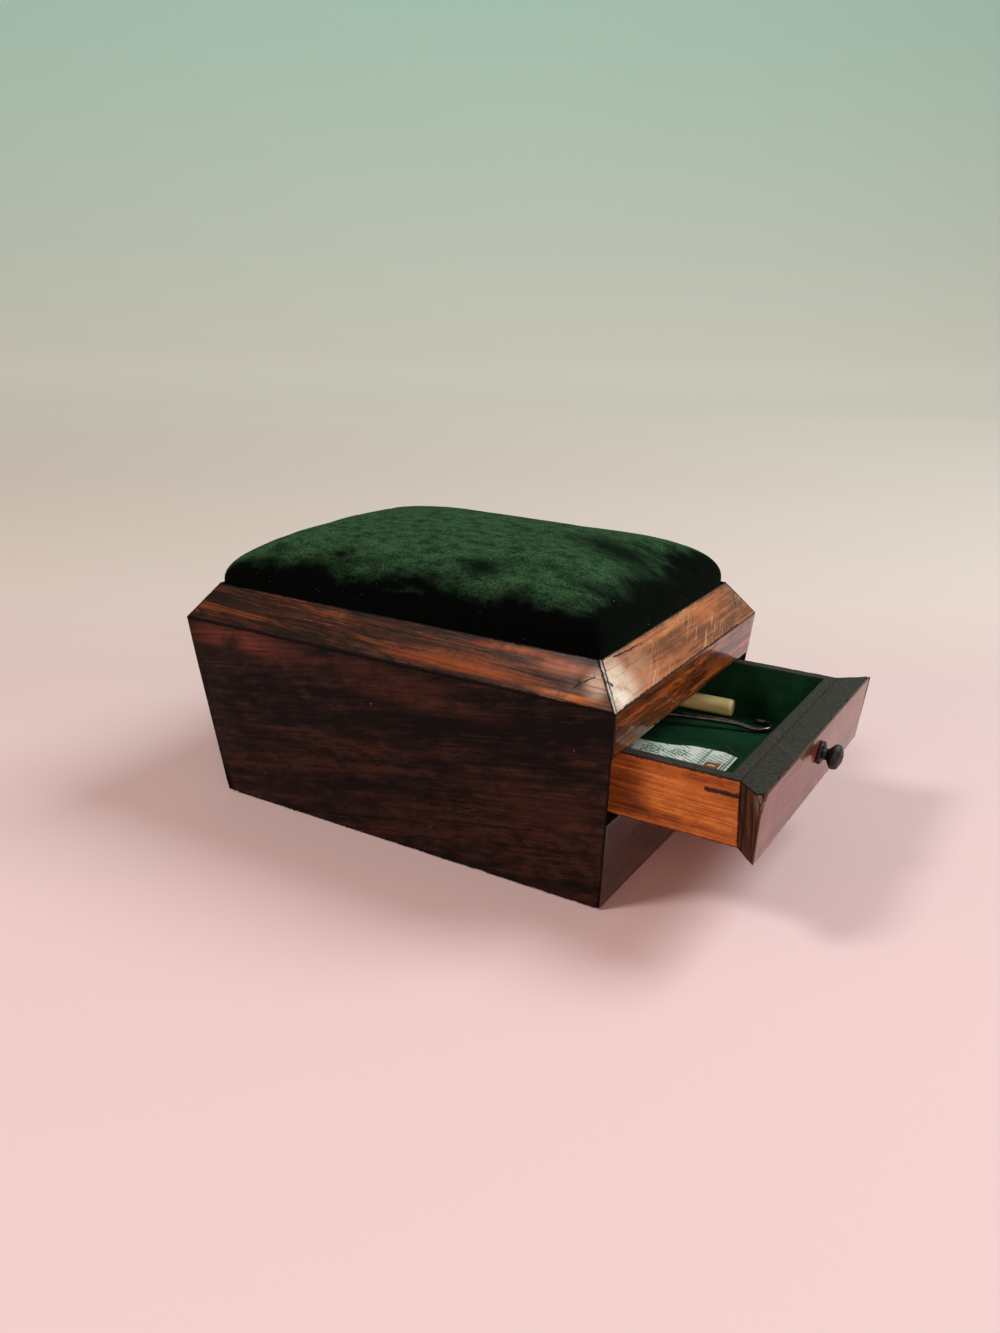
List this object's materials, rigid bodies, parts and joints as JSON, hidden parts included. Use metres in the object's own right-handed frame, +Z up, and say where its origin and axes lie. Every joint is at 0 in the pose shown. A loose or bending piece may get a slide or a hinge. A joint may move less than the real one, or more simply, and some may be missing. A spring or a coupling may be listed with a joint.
{
  "type": "pincushion box",
  "caption": "Veneered sewing box that widens upwards to a bevelled rim, with a velvet pincushion top and a drawer with a turned knob in one end.",
  "frame": {"origin": "centre of the underside of the case, on the table", "axes": "+X out of the drawer end, +Y towards the far long side, +Z up"},
  "size_m": [0.2591, 0.137, 0.1206],
  "materials": {
    "rosewood_veneer": "French-polished rosewood veneer",
    "rim_rosewood": "French-polished rosewood veneer, warmer",
    "pine": "bare planed softwood",
    "mahogany": "bare planed mahogany",
    "light_line": "light wood line let into the mitres",
    "ebony": "turned and polished ebony",
    "underlay": "worn dark sheet",
    "velvet": "green cotton velvet, rubbed",
    "stuffing": "packed wool and bran",
    "green_paper": "dark green lining paper",
    "dark_strip": "worn dark paper strip",
    "bone": "yellowed polished bone",
    "steel": "blackened steel",
    "ticket": null
  },
  "bodies": {
    "case": {"base_lining": "underlay", "base_board": "pine", "base_pins": "steel", "side_board_near": "pine", "side_board_far": "pine", "end_board_blind": "pine", "end_rail_upper": "pine", "end_rail_lower": "pine", "corner_blocks": "pine", "drawer_bed": "pine", "dust_board": "pine", "side_veneer_near": "rosewood_veneer", "side_veneer_far": "rosewood_veneer", "end_veneer_blind": "rosewood_veneer", "end_veneer_upper": "rosewood_veneer", "end_veneer_lower": "rosewood_veneer", "rim_core_near": "pine", "rim_core_far": "pine", "rim_core_blind": "pine", "rim_core_drawer_end": "pine", "rim_veneer_near": "rim_rosewood", "rim_veneer_far": "rim_rosewood", "rim_veneer_blind": "rim_rosewood", "rim_veneer_drawer_end": "rim_rosewood", "rim_lines": "light_line", "cushion_bearer_near": "pine", "cushion_bearer_far": "pine", "cushion_board": "pine", "cushion_stuffing": "stuffing", "velvet_cover": "velvet"},
    "drawer": {"drawer_side_near": "mahogany", "drawer_side_far": "mahogany", "drawer_inner_front": "mahogany", "drawer_back": "mahogany", "drawer_bottom": "mahogany", "drawer_facing": "mahogany", "facing_veneer": "rosewood_veneer", "facing_slips": "ebony", "drawer_binding": "dark_strip", "facing_binding": "dark_strip", "lining_floor": "green_paper", "lining_walls": "green_paper", "drawer_knob": "ebony", "bone_handle": "bone", "bone_handle_shank": "steel", "hook_grip": "bone", "hook_shank": "steel", "paper_ticket": "ticket"}
  },
  "joints": [
    {"name": "drawer_slide", "type": "slide", "parent": "case", "child": "drawer", "axis": [1, 0, 0], "range_m": [-0.0528, 0.075]}
  ]
}
